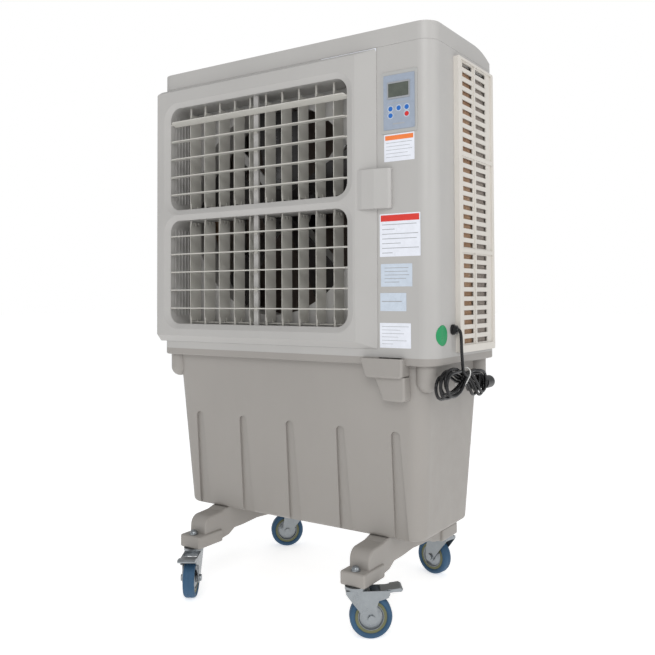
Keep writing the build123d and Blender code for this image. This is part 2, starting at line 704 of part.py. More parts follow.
# ---------------------------------------------------------------- mains cord
def cable_gland():
    body = rod((HALF_WIDTH, 96, 713), (HALF_WIDTH + 5, 96, 713), 12.5)
    body += rod((HALF_WIDTH + 5, 96, 713), (HALF_WIDTH + 12, 96, 713), 10.5)
    body += rod((HALF_WIDTH - 20, 96, 713), (HALF_WIDTH, 96, 713), 7.9)
    return body


def bend_radii(route):
    """One radius for each inner point: as large as the two runs beside it allow."""
    radii = []
    for before, here, after in zip(route, route[1:], route[2:]):
        first = Vector(*here) - Vector(*before)
        second = Vector(*after) - Vector(*here)
        turn = first.get_angle(second)
        shorter = min(first.length, second.length)
        radii.append(0.45 * shorter / tan(radians(turn) / 2))
    return radii


def mains_cord():
    radii = bend_radii(CORD_ROUTE)
    path = FilletPolyline(*CORD_ROUTE, radius=radii)
    start = Plane(origin=path @ 0, z_dir=path % 0)
    tube = sweep(start * Circle(CORD_D / 2), path=path)
    section = pi * (CORD_D / 2) ** 2
    print("cord radii", [round(r, 1) for r in radii])
    print("cord tube", round(tube.volume), "section x length", round(section * path.length))
    return tube


HANK_X = 447.0
HANK_HALF = 21.5


def cord_hank():
    """The outer shape of the cord's tied figure-of-eight bundle."""
    def lobe(y, z, half_y, half_z, lean):
        plane = Plane(origin=(HANK_X - HANK_HALF, y, z), x_dir=(0, 1, 0), z_dir=(1, 0, 0))
        outline = RectangleRounded(2 * half_y, 2 * half_z, min(half_y, half_z) - 1)
        return extrude(plane * Rot(0, 0, lean) * outline, 2 * HANK_HALF)

    hank = lobe(52, 588, 68, 31, 6) + lobe(176, 581, 66, 33, -10)
    hank -= rod((446, 232, 572), (446, 262, 572), 9)
    return hank - rod(CORD_ROUTE[-1], CORD_ROUTE[-2], CORD_D / 2)


def mains_plug():
    body = rod((446, 241.5, 572), (446, 262, 572), 9)
    body += rod((446, 262, 572), (446, 304, 572), 16)
    body = fillet(body.faces().sort_by(Axis.Y)[-1].edges(), 3.0)
    for x in (-6.5, 6.5):
        body += box(446 + x - 1, 446 + x + 1, 300, 321, 567, 574)
    body += box(442.5, 449.5, 300, 323, 578, 580)
    return body


# ---------------------------------------------------------------- build
def build():
    os.makedirs("parts", exist_ok=True)
    save("tank", tank())
    save("drain_spout", drain_spout())
    save("housing_shell", housing_shell())
    save("roof_cap", roof_cap())
    save("outlet_frame", outlet_frame())
    save("control_panel", control_panel())
    save("pad_frame_left", side_pad_frame(-1))
    save("pad_frame_right", side_pad_frame(1))
    save("pad_frame_rear", rear_pad_frame())
    save("cooling_pads", cooling_pads())
    save("fan_shroud", fan_shroud())
    save("fan_motor", fan_motor())
    save("fan", fan())
    save("pump", pump())
    save("water_pipe", water_pipe())
    save("float_valve", float_valve())
    save("float_arm", float_arm())
    save("leg_beams", Compound(children=[leg_beam(-1), leg_beam(1)]))
    save("caster_bolts", caster_bolts())
    save("swing_motor", swing_motor())
    save("vane_link", vane_link())
    for i, x in enumerate(vane_places(), 1):
        save(f"vane_{i:02d}", vane(x))
    for window, z in WINDOW_Z.items():
        heights = louvre_heights(z)
        for i, louvre_z in enumerate(heights, 1):
            tilted = window == "upper" and i == len(heights)
            save(f"louvre_{window}_{i}", louvre(louvre_z, TOP_LOUVRE_TILT if tilted else 0))
    for name, (x, z) in KEYS.items():
        save(name, key(x, z))
    for name, (side, y, trail, brake) in CASTERS.items():
        save(f"fork_{name}", at_caster(side, y, trail, caster_fork(brake)))
        save(f"wheel_{name}", at_caster(side, y, trail, caster_wheel()))
        if brake:
            save(f"pedal_{name}", at_caster(side, y, trail, brake_pedal()))
    save("cable_gland", cable_gland())
    save("mains_cord", mains_cord())
    save("cord_hank", cord_hank())
    save("mains_plug", mains_plug())


build()
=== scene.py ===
"""The looks of the evaporative cooler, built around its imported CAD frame."""
import json
import math

import bmesh
import bpy
from mathutils import Matrix, Vector, noise


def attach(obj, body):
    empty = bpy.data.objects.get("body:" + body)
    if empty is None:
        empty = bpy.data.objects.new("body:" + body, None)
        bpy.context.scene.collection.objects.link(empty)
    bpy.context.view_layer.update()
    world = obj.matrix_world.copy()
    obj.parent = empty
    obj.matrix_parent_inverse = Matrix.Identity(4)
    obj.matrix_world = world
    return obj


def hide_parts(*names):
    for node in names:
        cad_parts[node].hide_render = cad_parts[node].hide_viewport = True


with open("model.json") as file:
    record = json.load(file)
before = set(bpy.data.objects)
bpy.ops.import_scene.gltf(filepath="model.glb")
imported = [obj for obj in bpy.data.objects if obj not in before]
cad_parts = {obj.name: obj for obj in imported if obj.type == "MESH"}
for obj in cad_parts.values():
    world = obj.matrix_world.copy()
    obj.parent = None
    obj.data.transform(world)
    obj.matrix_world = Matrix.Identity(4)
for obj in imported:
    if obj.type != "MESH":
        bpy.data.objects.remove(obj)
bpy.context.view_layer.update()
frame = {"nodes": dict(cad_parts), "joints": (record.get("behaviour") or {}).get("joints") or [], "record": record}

MM = 0.001
# sizes and places are in millimetres, with y from the cabinet's front wall
CENTRE_Y = 151.0            # the frame's origin
HALF_WIDTH = 438.0
CORNER_R = 40.0             # the cabinet's upright front corners
EDGE = 2.2                  # how far the outlet frame's rim stands off the front wall
OUTLET_X = -91.0            # middle of the air outlet
WINDOW_Z = (1187.0, 864.0)  # middles of the upper and the lower window
WINDOW_HALF_H = 146.5
WINDOW_HALF_W = 300.0
LOUVRE_PITCH = 50.9
LOUVRES_PER_WINDOW = 5


def at(x, y, z):
    """A point of the frame, in metres, from its place in millimetres."""
    return Vector((x * MM, (y - CENTRE_Y) * MM, z * MM))


# ---------------------------------------------------------------- camera, lights, floor
CAMERA_PLACE = (1221.6, -1614.3, 793.6)
CAMERA_ANGLES = (33.629, 1.616, -0.225)     # heading, pitch and roll, in degrees
LIGHTS = (                                  # name, place, target and size in metres, power in watts
    ("key", (1.9, -3.3, 2.5), (0.2, 0, 0.7), 2.2, 52),
    ("fill", (3.9, -0.4, 1.9), (0, 0, 0.7), 2.6, 24),
    ("top", (0.2, 0.4, 4.2), (0, 0, 1.0), 2.6, 12),
)
FLOOR_SIZE = 60             # in metres


def make_camera():
    heading, pitch, roll = (math.radians(a) for a in CAMERA_ANGLES)
    data = bpy.data.cameras.new("camera")
    data.sensor_width = 36.0
    data.lens = 42.73
    data.shift_x = -0.0017
    data.shift_y = -0.0811
    cam = bpy.data.objects.new("camera", data)
    bpy.context.scene.collection.objects.link(cam)
    turn = Matrix.Rotation(heading, 4, "Z") @ Matrix.Rotation(math.radians(90) + pitch, 4, "X")
    place = Matrix.Translation(at(*CAMERA_PLACE))
    cam.matrix_world = place @ turn @ Matrix.Rotation(roll, 4, "Z")
    bpy.context.scene.camera = cam


def area_light(name, place, target, size, power):
    data = bpy.data.lights.new(name, "AREA")
    data.shape = "DISK"
    data.size = size
    data.energy = power
    light = bpy.data.objects.new(name, data)
    bpy.context.scene.collection.objects.link(light)
    light.location = place
    light.rotation_euler = (Vector(target) - Vector(place)).to_track_quat("-Z", "Y").to_euler()


def make_world():
    """A soft glow all round, and plain white where the camera looks past the cooler."""
    world = bpy.data.worlds.new("studio")
    world.use_nodes = True
    bpy.context.scene.world = world
    tree = world.node_tree
    glow = tree.nodes["Background"]
    glow.inputs["Color"].default_value = (0.98, 0.99, 1.0, 1)
    glow.inputs["Strength"].default_value = 0.52
    backdrop = tree.nodes.new("ShaderNodeBackground")
    backdrop.inputs["Color"].default_value = (1, 1, 1, 1)
    seen = tree.nodes.new("ShaderNodeLightPath")
    mix = tree.nodes.new("ShaderNodeMixShader")
    tree.links.new(seen.outputs["Is Camera Ray"], mix.inputs["Fac"])
    tree.links.new(glow.outputs["Background"], mix.inputs[1])
    tree.links.new(backdrop.outputs["Background"], mix.inputs[2])
    tree.links.new(mix.outputs["Shader"], tree.nodes["World Output"].inputs["Surface"])


def make_floor():
    """A matt white floor that glows a little, so that it meets the backdrop without an edge."""
    bpy.ops.mesh.primitive_plane_add(size=FLOOR_SIZE, location=(0, 0, 0))
    floor = bpy.context.object
    floor.name = "floor"
    mat = bpy.data.materials.new("floor")
    mat.use_nodes = True
    shader = mat.node_tree.nodes["Principled BSDF"]
    shader.inputs["Base Color"].default_value = (0.92, 0.92, 0.92, 1)
    shader.inputs["Roughness"].default_value = 0.9
    shader.inputs["Emission Color"].default_value = (1, 1, 1, 1)
    shader.inputs["Emission Strength"].default_value = 0.55
    floor.data.materials.append(mat)


def make_stage():
    for light in LIGHTS:
        area_light(*light)
    make_world()
    make_floor()
    bpy.context.scene.view_settings.view_transform = "Standard"


# ---------------------------------------------------------------- materials
class Nodes:
    """A short way to add and join shader nodes."""

    def __init__(self, name):
        self.mat = bpy.data.materials.new(name)
        self.mat.use_nodes = True
        self.tree = self.mat.node_tree
        self.shader = self.tree.nodes["Principled BSDF"]
        self.place = self.add("ShaderNodeTexCoord").outputs["Object"]

    def add(self, kind, links=(), **settings):
        """A new node with its settings made and its inputs, by name or number, linked."""
        node = self.tree.nodes.new(kind)
        for key, value in settings.items():
            setattr(node, key, value)
        for key, source in dict(links).items():
            self.tree.links.new(source, node.inputs[key])
        return node

    def noise(self, scale, detail=4.0, rough=0.6, stretch=None):
        vector = self.place
        if stretch:
            mapping = self.add("ShaderNodeMapping", {"Vector": self.place})
            mapping.inputs["Scale"].default_value = stretch
            vector = mapping.outputs["Vector"]
        node = self.add("ShaderNodeTexNoise", {"Vector": vector})
        node.inputs["Scale"].default_value = scale
        node.inputs["Detail"].default_value = detail
        node.inputs["Roughness"].default_value = rough
        return node.outputs["Fac"]

    def span(self, source, low, high, start=0.3, end=0.7):
        """source, from start to end, mapped to low to high."""
        node = self.add("ShaderNodeMapRange", {"Value": source})
        node.inputs["From Min"].default_value = start
        node.inputs["From Max"].default_value = end
        node.inputs["To Min"].default_value = low
        node.inputs["To Max"].default_value = high
        return node.outputs["Result"]

    def mix(self, factor, a, b):
        """Colour a to colour b by factor; a and b are colours or sockets."""
        node = self.add("ShaderNodeMix", {"Factor": factor}, data_type="RGBA")
        for key, value in (("A", a), ("B", b)):
            socket = [s for s in node.inputs if s.name == key and s.type == "RGBA"][0]
            if isinstance(value, bpy.types.NodeSocket):
                self.tree.links.new(value, socket)
            else:
                socket.default_value = (*value, 1)
        return [s for s in node.outputs if s.type == "RGBA"][0]

    def bump(self, height, distance, strength, under=None):
        node = self.add("ShaderNodeBump", {"Height": height})
        node.inputs["Distance"].default_value = distance
        node.inputs["Strength"].default_value = strength
        if under is not None:
            self.tree.links.new(under, node.inputs["Normal"])
        return node.outputs["Normal"]

    def finish(self, colour, rough, normal, **constants):
        """The material, with its shader's main inputs linked and the constants set."""
        for key, source in (("Base Color", colour), ("Roughness", rough), ("Normal", normal)):
            self.tree.links.new(source, self.shader.inputs[key])
        for key, value in constants.items():
            self.shader.inputs[key.replace("_", " ")].default_value = value
        return self.mat


def scaled(colour, k):
    return tuple(c * k for c in colour)


def moulded(name, colour, rough, grain=0.00012, grain_scale=900.0, dust=0.0):
    """Moulded plastic: a fine grain, flow marks, uneven gloss, faint scuffs and dust low down."""
    n = Nodes(name)
    broad = n.noise(2.2, 3.0)
    flow = n.noise(9.0, 5.0, stretch=(1.0, 1.0, 0.22))
    scuff = n.noise(46.0, 6.0, 0.72, stretch=(1.0, 1.0, 3.0))
    tone = n.mix(n.span(broad, 0.0, 1.0), scaled(colour, 0.955), scaled(colour, 1.035))
    tone = n.mix(n.span(flow, 0.0, 0.22, 0.45, 0.8), tone, scaled(colour, 0.86))
    tone = n.mix(n.span(scuff, 0.0, 0.22, 0.66, 0.78), tone, scaled(colour, 1.16))
    if dust:
        height = n.add("ShaderNodeSeparateXYZ", {"Vector": n.place}).outputs["Z"]
        low = n.span(height, dust, 0.0, 0.1, 0.62)
        speck = n.add("ShaderNodeMath", {0: low}, operation="MULTIPLY")
        n.tree.links.new(n.span(n.noise(30.0, 8.0, 0.7), 0.15, 1.0), speck.inputs[1])
        tone = n.mix(speck.outputs[0], tone, (0.30, 0.26, 0.21))
    gloss = n.span(n.noise(18.0, 6.0), rough - 0.07, rough + 0.09)
    soft = n.bump(n.noise(5.0, 2.0), 0.0012, 0.25)
    fine = n.bump(n.noise(grain_scale, 2.0), grain, 0.55, soft)
    return n.finish(tone, gloss, fine, Specular_IOR_Level=0.4)


def metal(name, colour, rough, stain=(0.42, 0.40, 0.34)):
    """Plated or painted metal: drawn lines, uneven shine and light stains."""
    n = Nodes(name)
    lines = n.noise(120.0, 3.0, stretch=(1.0, 1.0, 14.0))
    cloud = n.noise(38.0, 6.0, 0.7)
    tone = n.mix(n.span(cloud, 0.0, 1.0), scaled(colour, 0.86), scaled(colour, 1.08))
    tone = n.mix(n.span(n.noise(75.0, 8.0, 0.75), 0.0, 0.5, 0.62, 0.75), tone, stain)
    gloss = n.span(cloud, rough - 0.08, rough + 0.14)
    normal = n.bump(lines, 0.00012, 0.35)
    normal = n.bump(n.noise(22.0, 2.0), 0.0008, 0.15, normal)
    return n.finish(tone, gloss, normal, Metallic=0.92)


def rubber(name, colour, rough=0.55, grain_scale=520.0, worn=1.5):
    """Rubber: a matt skin, rubbed lighter in places, with a pebbled grain."""
    n = Nodes(name)
    rub = n.noise(60.0, 7.0, 0.7)
    tone = n.mix(n.span(n.noise(12.0, 4.0), 0.0, 1.0), scaled(colour, 0.82), scaled(colour, 1.12))
    tone = n.mix(n.span(rub, 0.0, 0.45, 0.58, 0.74), tone, scaled(colour, worn))
    gloss = n.span(rub, rough - 0.1, rough + 0.15)
    normal = n.bump(n.noise(grain_scale, 3.0), 0.0002, 0.5)
    return n.finish(tone, gloss, normal, Specular_IOR_Level=0.35)


def pad_paper():
    """Cellulose pad: brown, grey with minerals at the side pads' back, and painted shade, near black, on the rear
    pad's inner part seen through the fan.
    """
    n = Nodes("pad_paper")
    parts = n.add("ShaderNodeSeparateXYZ", {"Vector": n.place}).outputs
    fibre = n.noise(210.0, 8.0, 0.7, stretch=(1.0, 1.0, 4.0))
    blot = n.noise(14.0, 5.0, 0.65)
    tone = n.mix(n.span(blot, 0.0, 1.0), (0.33, 0.20, 0.125), (0.44, 0.305, 0.205))
    tone = n.mix(n.span(fibre, 0.0, 0.55, 0.45, 0.7), tone, (0.15, 0.075, 0.04))
    edge = n.add("ShaderNodeMath", {0: parts["Y"]}, operation="ADD")
    n.tree.links.new(n.span(blot, -0.02, 0.02), edge.inputs[1])
    side_back = n.span(edge.outputs[0], 0.0, 0.8, 0.055, 0.075)
    tone = n.mix(side_back, tone, (0.30, 0.285, 0.27))
    # painted shade: the rear pad's inner part, seen past the fan, is darkened near black; its outer face is brown
    # again
    rear_pad_shade = n.span(parts["Y"], 0.0, 1.0, 0.16, 0.17)
    tone = n.mix(rear_pad_shade, tone, (0.045, 0.026, 0.018))
    rear_outside = n.span(parts["Y"], 0.0, 1.0, 0.235, 0.245)
    tone = n.mix(rear_outside, tone, (0.36, 0.22, 0.14))
    normal = n.bump(fibre, 0.0006, 0.8)
    return n.finish(tone, n.span(fibre, 0.7, 0.95), normal, Specular_IOR_Level=0.2)


def printed(name, paper, rough=0.35):
    """A printed sticker or overlay: even ink with a faint mottle and edge dirt."""
    n = Nodes(name)
    tone = n.mix(n.span(n.noise(70.0, 5.0), 0.0, 1.0), scaled(paper, 0.94), scaled(paper, 1.03))
    tone = n.mix(n.span(n.noise(260.0, 4.0), 0.0, 0.3, 0.62, 0.75), tone, scaled(paper, 0.8))
    normal = n.bump(n.noise(35.0, 3.0), 0.0003, 0.25)
    gloss = n.span(n.noise(24.0), rough - 0.08, rough + 0.1)
    return n.finish(tone, gloss, normal, Specular_IOR_Level=0.45)


def screen_glass():
    """The display: dark grey-green glass with a faint mottle and fine dust."""
    n = Nodes("screen_glass")
    tone = n.mix(n.span(n.noise(40.0, 3.0), 0.0, 1.0), (0.06, 0.07, 0.058), (0.085, 0.097, 0.078))
    tone = n.mix(n.span(n.noise(900.0, 2.0), 0.0, 0.4, 0.66, 0.72), tone, (0.3, 0.3, 0.28))
    gloss = n.span(n.noise(55.0), 0.08, 0.2)
    return n.finish(tone, gloss, n.bump(n.noise(9.0), 0.0002, 0.2), Coat_Weight=0.6)


MATERIALS = {
    "housing_plastic": moulded("housing_plastic", (0.415, 0.405, 0.392), 0.4, dust=0.05),
    "tank_plastic": moulded("tank_plastic", (0.305, 0.287, 0.268), 0.46, 0.0002, 620.0, dust=0.16),
    "louvre_plastic": moulded("louvre_plastic", (0.50, 0.487, 0.45), 0.36),
    "grille_plastic": moulded("grille_plastic", (0.60, 0.57, 0.525), 0.44, dust=0.05),
    "panel_plastic": moulded("panel_plastic", (0.39, 0.39, 0.38), 0.4),
    "black_plastic": moulded("black_plastic", (0.010, 0.010, 0.012), 0.34),
    "fan_plastic": moulded("fan_plastic", (0.016, 0.014, 0.014), 0.3, dust=0.06),
    "pipe_plastic": moulded("pipe_plastic", (0.72, 0.72, 0.69), 0.35),
    "pad_paper": pad_paper(),
    "motor_paint": metal("motor_paint", (0.045, 0.045, 0.05), 0.42, stain=(0.14, 0.12, 0.1)),
    "brass": metal("brass", (0.60, 0.44, 0.19), 0.28),
    "zinc": metal("zinc", (0.29, 0.31, 0.325), 0.3),
    "tyre": rubber("tyre", (0.030, 0.085, 0.16)),
    "cord_rubber": rubber("cord_rubber", (0.006, 0.006, 0.007), 0.27, 700.0, 1.8),
    "key_blue": moulded("key_blue", (0.02, 0.13, 0.45), 0.25),
    "key_red": moulded("key_red", (0.55, 0.03, 0.03), 0.25),
}
OLIVE = rubber("olive_rubber", (0.16, 0.165, 0.085), 0.6)
TIE_WHITE = moulded("tie_white", (0.74, 0.74, 0.72), 0.4)
GREEN = printed("green_print", (0.004, 0.255, 0.085))
PAPER = printed("paper_print", (0.72, 0.74, 0.80))
ORANGE = printed("orange_print", (0.78, 0.20, 0.05))
RED = printed("red_print", (0.62, 0.04, 0.03))
SILVER = printed("silver_print", (0.30, 0.345, 0.42), 0.28)
PALE_BLUE = printed("pale_blue_print", (0.52, 0.58, 0.66), 0.3)
GREY_INK = printed("grey_print", (0.34, 0.35, 0.37))
GLASS = screen_glass()
PANEL_GREY = moulded("panel_grey", (0.30, 0.31, 0.33), 0.35)


def dress_cad():
    """Every CAD node gets its slot's finish."""
    for part in frame["record"]["subparts"]:
        node = frame["nodes"][part["node"]]
        node.data.materials.clear()
        node.data.materials.append(MATERIALS[part["material_slot"]])


# ---------------------------------------------------------------- mesh helpers
def new_mesh(name, verts, faces):
    mesh = bpy.data.meshes.new(name)
    mesh.from_pydata([tuple(v) for v in verts], [], faces)
    mesh.validate()
    return mesh


def add_object(name, mesh, material, body, smooth=True):
    piece = bpy.data.objects.new(name, mesh)
    bpy.context.scene.collection.objects.link(piece)
    mesh.materials.append(material)
    if smooth:
        for polygon in mesh.polygons:
            polygon.use_smooth = True
    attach(piece, body)
    return piece


def add_prism(name, outline, depth, material, radius, segments=3, angle=30):
    """A closed prism with its sharp edges rounded, from a ring of points along the vector depth."""
    bm = bmesh.new()
    near = [bm.verts.new(p) for p in outline]
    far = [bm.verts.new(p + depth) for p in outline]
    bm.faces.new(near)
    bm.faces.new(far[::-1])
    for i in range(len(outline)):
        j = (i + 1) % len(outline)
        bm.faces.new((near[j], near[i], far[i], far[j]))
    sharp = [e for e in bm.edges if len(e.link_faces) == 2 and e.calc_face_angle() > math.radians(angle)]
    bmesh.ops.bevel(bm, geom=sharp, offset=radius, segments=segments, profile=0.5, affect="EDGES")
    bmesh.ops.recalc_face_normals(bm, faces=bm.faces)
    mesh = bpy.data.meshes.new(name)
    bm.to_mesh(mesh)
    bm.free()
    piece = add_object(name, mesh, material, "cabinet")
    modifier = piece.modifiers.new("normals", "WEIGHTED_NORMAL")
    modifier.keep_sharp = True


def rounded_outline(x0, x1, z0, z1, y, radius, steps=6):
    """A rounded rectangle on the cabinet's front, as points."""
    points = []
    corners = ((x1, z1, 0), (x0, z1, 90), (x0, z0, 180), (x1, z0, 270))
    for cx, cz, start in corners:
        ox = cx - radius if cx == x1 else cx + radius
        oz = cz - radius if cz == z1 else cz + radius
        for i in range(steps + 1):
            a = math.radians(start + 90 * i / steps)
            points.append(at(ox + radius * math.cos(a), y, oz + radius * math.sin(a)))
    return points


def sticker(name, x0, x1, z0, z1, y, thick, material, radius):
    """A thin plate on the front, from y forward by thick."""
    outline = rounded_outline(x0, x1, z0, z1, y, radius)
    edge = min(thick * 0.3, 0.5) * MM
    add_prism(name, outline, Vector((0, -thick * MM, 0)), material, edge, 2, 60)


def lathe(name, profile, material, centre, axis, body, steps):
    """A closed ring or disc turned about an axis: profile is a ring of (radius, along) in mm."""
    turn = Vector(axis).to_track_quat("Z", "Y").to_matrix()
    verts = []
    faces = []
    count = len(profile)
    for i in range(steps):
        a = 2 * math.pi * i / steps
        for radius, along in profile:
            local = Vector((radius * math.cos(a), radius * math.sin(a), along)) * MM
            verts.append(turn @ local + Vector(centre))
    for i in range(steps):
        j = (i + 1) % steps
        for k in range(count):
            m = (k + 1) % count
            faces.append((i * count + k, i * count + m, j * count + m, j * count + k))
    mesh = new_mesh(name, verts, faces)
    bm = bmesh.new()
    bm.from_mesh(mesh)
    bmesh.ops.remove_doubles(bm, verts=bm.verts, dist=1e-6)
    bmesh.ops.recalc_face_normals(bm, faces=bm.faces)
    bm.to_mesh(mesh)
    bm.free()
    piece = add_object(name, mesh, material, body)
    mesh.set_sharp_from_angle(angle=math.radians(38))
    return piece


def joint(name):
    return next(j for j in frame["joints"] if j["name"] == name)


# ---------------------------------------------------------------- mains cord
CORD_D = 7.5
DROP = [                    # the CAD cord's route, from the gland down to the hank
    (450.0, 96.0, 713.0),
    (456.0, 96.0, 713.0),
    (459.5, 96.4, 706.0),
    (460.5, 97.4, 692.0),
    (460.0, 99.0, 668.0),
    (460.5, 101.5, 643.0),
    (461.0, 103.0, 622.0),
]
WAIST_Y = 138.0             # the hank's waist, inside the tie
WAIST_Z = 594.0
WAIST_HALF = 4.2            # half of a turn's width at the waist
WAIST_LEAN = 60.0           # how steeply the strands stack at the waist and out in the lobes, in degrees
LOBE_LEAN = 10.0
LOBE_HALF = 27.2            # half of a turn's width out in a lobe, and the radius of its end
LOBE_START = 72.0           # how far from the waist a lobe is fully open
LEFT_DROOP = 6.0
RIGHT_DROOP = 16.0
LAYERS = 6
LAYER_STEP = 7.6
LAYER_X = 446.0
LEFT_REACH = (132.0, 124.0, 134.0, 118.0, 127.0)
RIGHT_REACH = (98.0, 101.0, 92.0, 99.0, 80.0)
LEFT_SHIFT = (3.0, -6.0, 5.0, -3.0, 6.0, 0.0)
RIGHT_SHIFT = (0.0, 6.0, -5.0, 4.0, -6.0, 0.0)
ENTRY = [(461.5, 106.2, 610.0), (463.0, 115.5, 602.5), (463.0, 128.0, 601.5), (460.5, 141.0, 606.0)]
TO_PLUG = [(435.0, 203.0, 575.0), (442.5, 219.0, 572.5), (446.0, 232.0, 572.0), (446.0, 246.0, 572.0)]
RELIEF = [(0, -5), (9.5, -5), (9.5, -3.4), (8.2, -3), (8.2, 0), (7.0, 0.4), (7.0, 2), (5.6, 2.4), (4.6, 4.4),
          (0, 4.4)]


def hank_point(layer, away, rise, side):
    """A point of one turn: away from the tie by a distance, rise from -1 to 1 across the turn."""
    open_up = min(1.0, away / LOBE_START)
    open_up = open_up * open_up * (3 - 2 * open_up)
    lean = math.radians(WAIST_LEAN + (LOBE_LEAN - WAIST_LEAN) * open_up)
    half = WAIST_HALF + (LOBE_HALF - WAIST_HALF) * open_up
    droop = LEFT_DROOP + LEFT_SHIFT[int(layer)] if side < 0 else RIGHT_DROOP + RIGHT_SHIFT[int(layer)]
    along = ((LAYERS - 1) / 2 - layer) * LAYER_STEP
    upright = math.cos(lean) * (1 - open_up) + open_up
    x = LAYER_X + along * math.cos(lean) - rise * half * math.sin(lean) * (1 - open_up)
    z = WAIST_Z - open_up * droop + along * math.sin(lean) + rise * half * upright
    return (x, WAIST_Y + side * away, z)


def half_turn(layer, reach, side, start_rise):
    """The points of one lobe of a turn, out on start_rise's side and back on the other."""
    straight = reach - LOBE_HALF
    out = [0.22, 0.5, 0.78, 1.0]
    points = [hank_point(layer, straight * k, start_rise, side) for k in out]
    for degrees in (42, 90, 138):
        a = math.radians(degrees)
        away = straight + LOBE_HALF * math.sin(a) * 1.08
        points.append(hank_point(layer, away, start_rise * math.cos(a), side))
    points += [hank_point(layer, straight * k, -start_rise, side) for k in reversed(out)]
    return points


def cord_route():
    """From the gland, down into the tied hank, round its turns and out to the plug."""
    points = list(DROP)
    for turn in range(LAYERS - 1):
        right = half_turn(turn, RIGHT_REACH[turn], 1, 1)
        if turn == 0:
            points += ENTRY
            right = right[1:]
        points += right
        points.append(hank_point(turn, 0.0, -1, 1))
        points += half_turn(turn, LEFT_REACH[turn], -1, -1)
        points.append(hank_point(turn + 0.5, 0.0, 1, 1))
    last = LAYERS - 1
    points += [hank_point(last, 22.0, 0.9, 1), hank_point(last, 45.0, 0.5, 1)]
    points += TO_PLUG
    return [at(*p) for p in points]


def make_cord():
    data = bpy.data.curves.new("mains_lead", "CURVE")
    data.dimensions = "3D"
    spline = data.splines.new("NURBS")
    route = cord_route()
    spline.points.add(len(route) - 1)
    for point, place in zip(spline.points, route):
        point.co = (*place, 1)
    spline.order_u = 3
    spline.use_endpoint_u = True
    spline.resolution_u = 6
    data.bevel_depth = CORD_D / 2 * MM
    data.bevel_resolution = 4
    data.use_fill_caps = True
    piece = bpy.data.objects.new("mains_lead", data)
    bpy.context.scene.collection.objects.link(piece)
    data.materials.append(MATERIALS["cord_rubber"])
    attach(piece, "cabinet")
    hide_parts("mains_cord", "cord_hank")
    return piece


def wire_ring(name, half_long, half_wide, wire, material):
    """A closed wire round the hank's waist, leaning with its strands; wire is its radius."""
    lean = math.radians(WAIST_LEAN)
    data = bpy.data.curves.new(name, "CURVE")
    data.dimensions = "3D"
    spline = data.splines.new("NURBS")
    count = 16
    spline.points.add(count - 1)
    for i in range(count):
        a = 2 * math.pi * i / count
        u = half_long * math.copysign(abs(math.cos(a)) ** 0.72, math.cos(a))
        v = half_wide * math.copysign(abs(math.sin(a)) ** 0.72, math.sin(a))
        x = LAYER_X + u * math.cos(lean) - v * math.sin(lean)
        z = WAIST_Z + u * math.sin(lean) + v * math.cos(lean)
        spline.points[i].co = (*at(x, WAIST_Y + 2.5 * math.sin(a), z), 1)
    spline.order_u = 3
    spline.use_cyclic_u = True
    data.bevel_depth = wire * MM
    data.bevel_resolution = 3
    piece = bpy.data.objects.new(name, data)
    bpy.context.scene.collection.objects.link(piece)
    data.materials.append(material)
    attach(piece, "cabinet")
    return piece


def make_cord_pieces():
    cord = make_cord()
    tie = wire_ring("cord_tie", 28.5, 13.5, 1.3, TIE_WHITE)
    black = MATERIALS["black_plastic"]
    relief = lathe("strain_relief", RELIEF, black, at(*DROP[0]), (1, 0, 0), "cabinet", 40)


# ---------------------------------------------------------------- control panel and stickers
PANEL_FACE = -2.0           # the CAD panel's front
KEYS = (("power", 371.5, 1222.0), ("speed", 328.2, 1238.0), ("swing", 350.2, 1238.0),
        ("cool", 371.5, 1238.0), ("timer", 328.2, 1222.0))
HALO = [(6.6, 0), (7.8, 0), (7.8, 0.2), (6.6, 0.2)]


def make_panel():
    """The rim and overlay on the panel, its display, and a pale ring round each key."""
    overlay = PANEL_FACE - 0.5
    face = overlay - 0.4
    sticker("panel_rim", 308.5, 393.5, 1187.5, 1319.5, PANEL_FACE, 0.5, GREY_INK, 3)
    sticker("panel_overlay", 309.5, 392.5, 1188.5, 1318.5, overlay, 0.4, SILVER, 3)
    sticker("screen_bezel", 319.5, 380.5, 1261, 1302, face, 1.0, PANEL_GREY, 2.5)
    sticker("screen", 323, 377, 1265.5, 1298, face - 0.9, 0.5, GLASS, 1.0)
    for name, x, z in KEYS:
        place = at(x, face + 0.05, z)
        lathe(f"halo_{name}", HALO, PALE_BLUE, place, (0, -1, 0), "cabinet", 32)
    sticker("panel_rule_1", 322, 378, 1250.5, 1252, face, 0.12, GREY_INK, 0.5)
    sticker("panel_rule_2", 334, 366, 1200, 1203, face, 0.12, GREY_INK, 0.5)


LABEL_THICK = 0.35


def rules(name, x0, z_top, widths, step, thick):
    """Plain ruled lines that stand where a sticker has its small print."""
    for i, width in enumerate(widths):
        z = z_top - i * step
        sticker(f"{name}_rule_{i + 1}", x0, x0 + width, z - thick, z, -LABEL_THICK, 0.1, GREY_INK, 0.3)


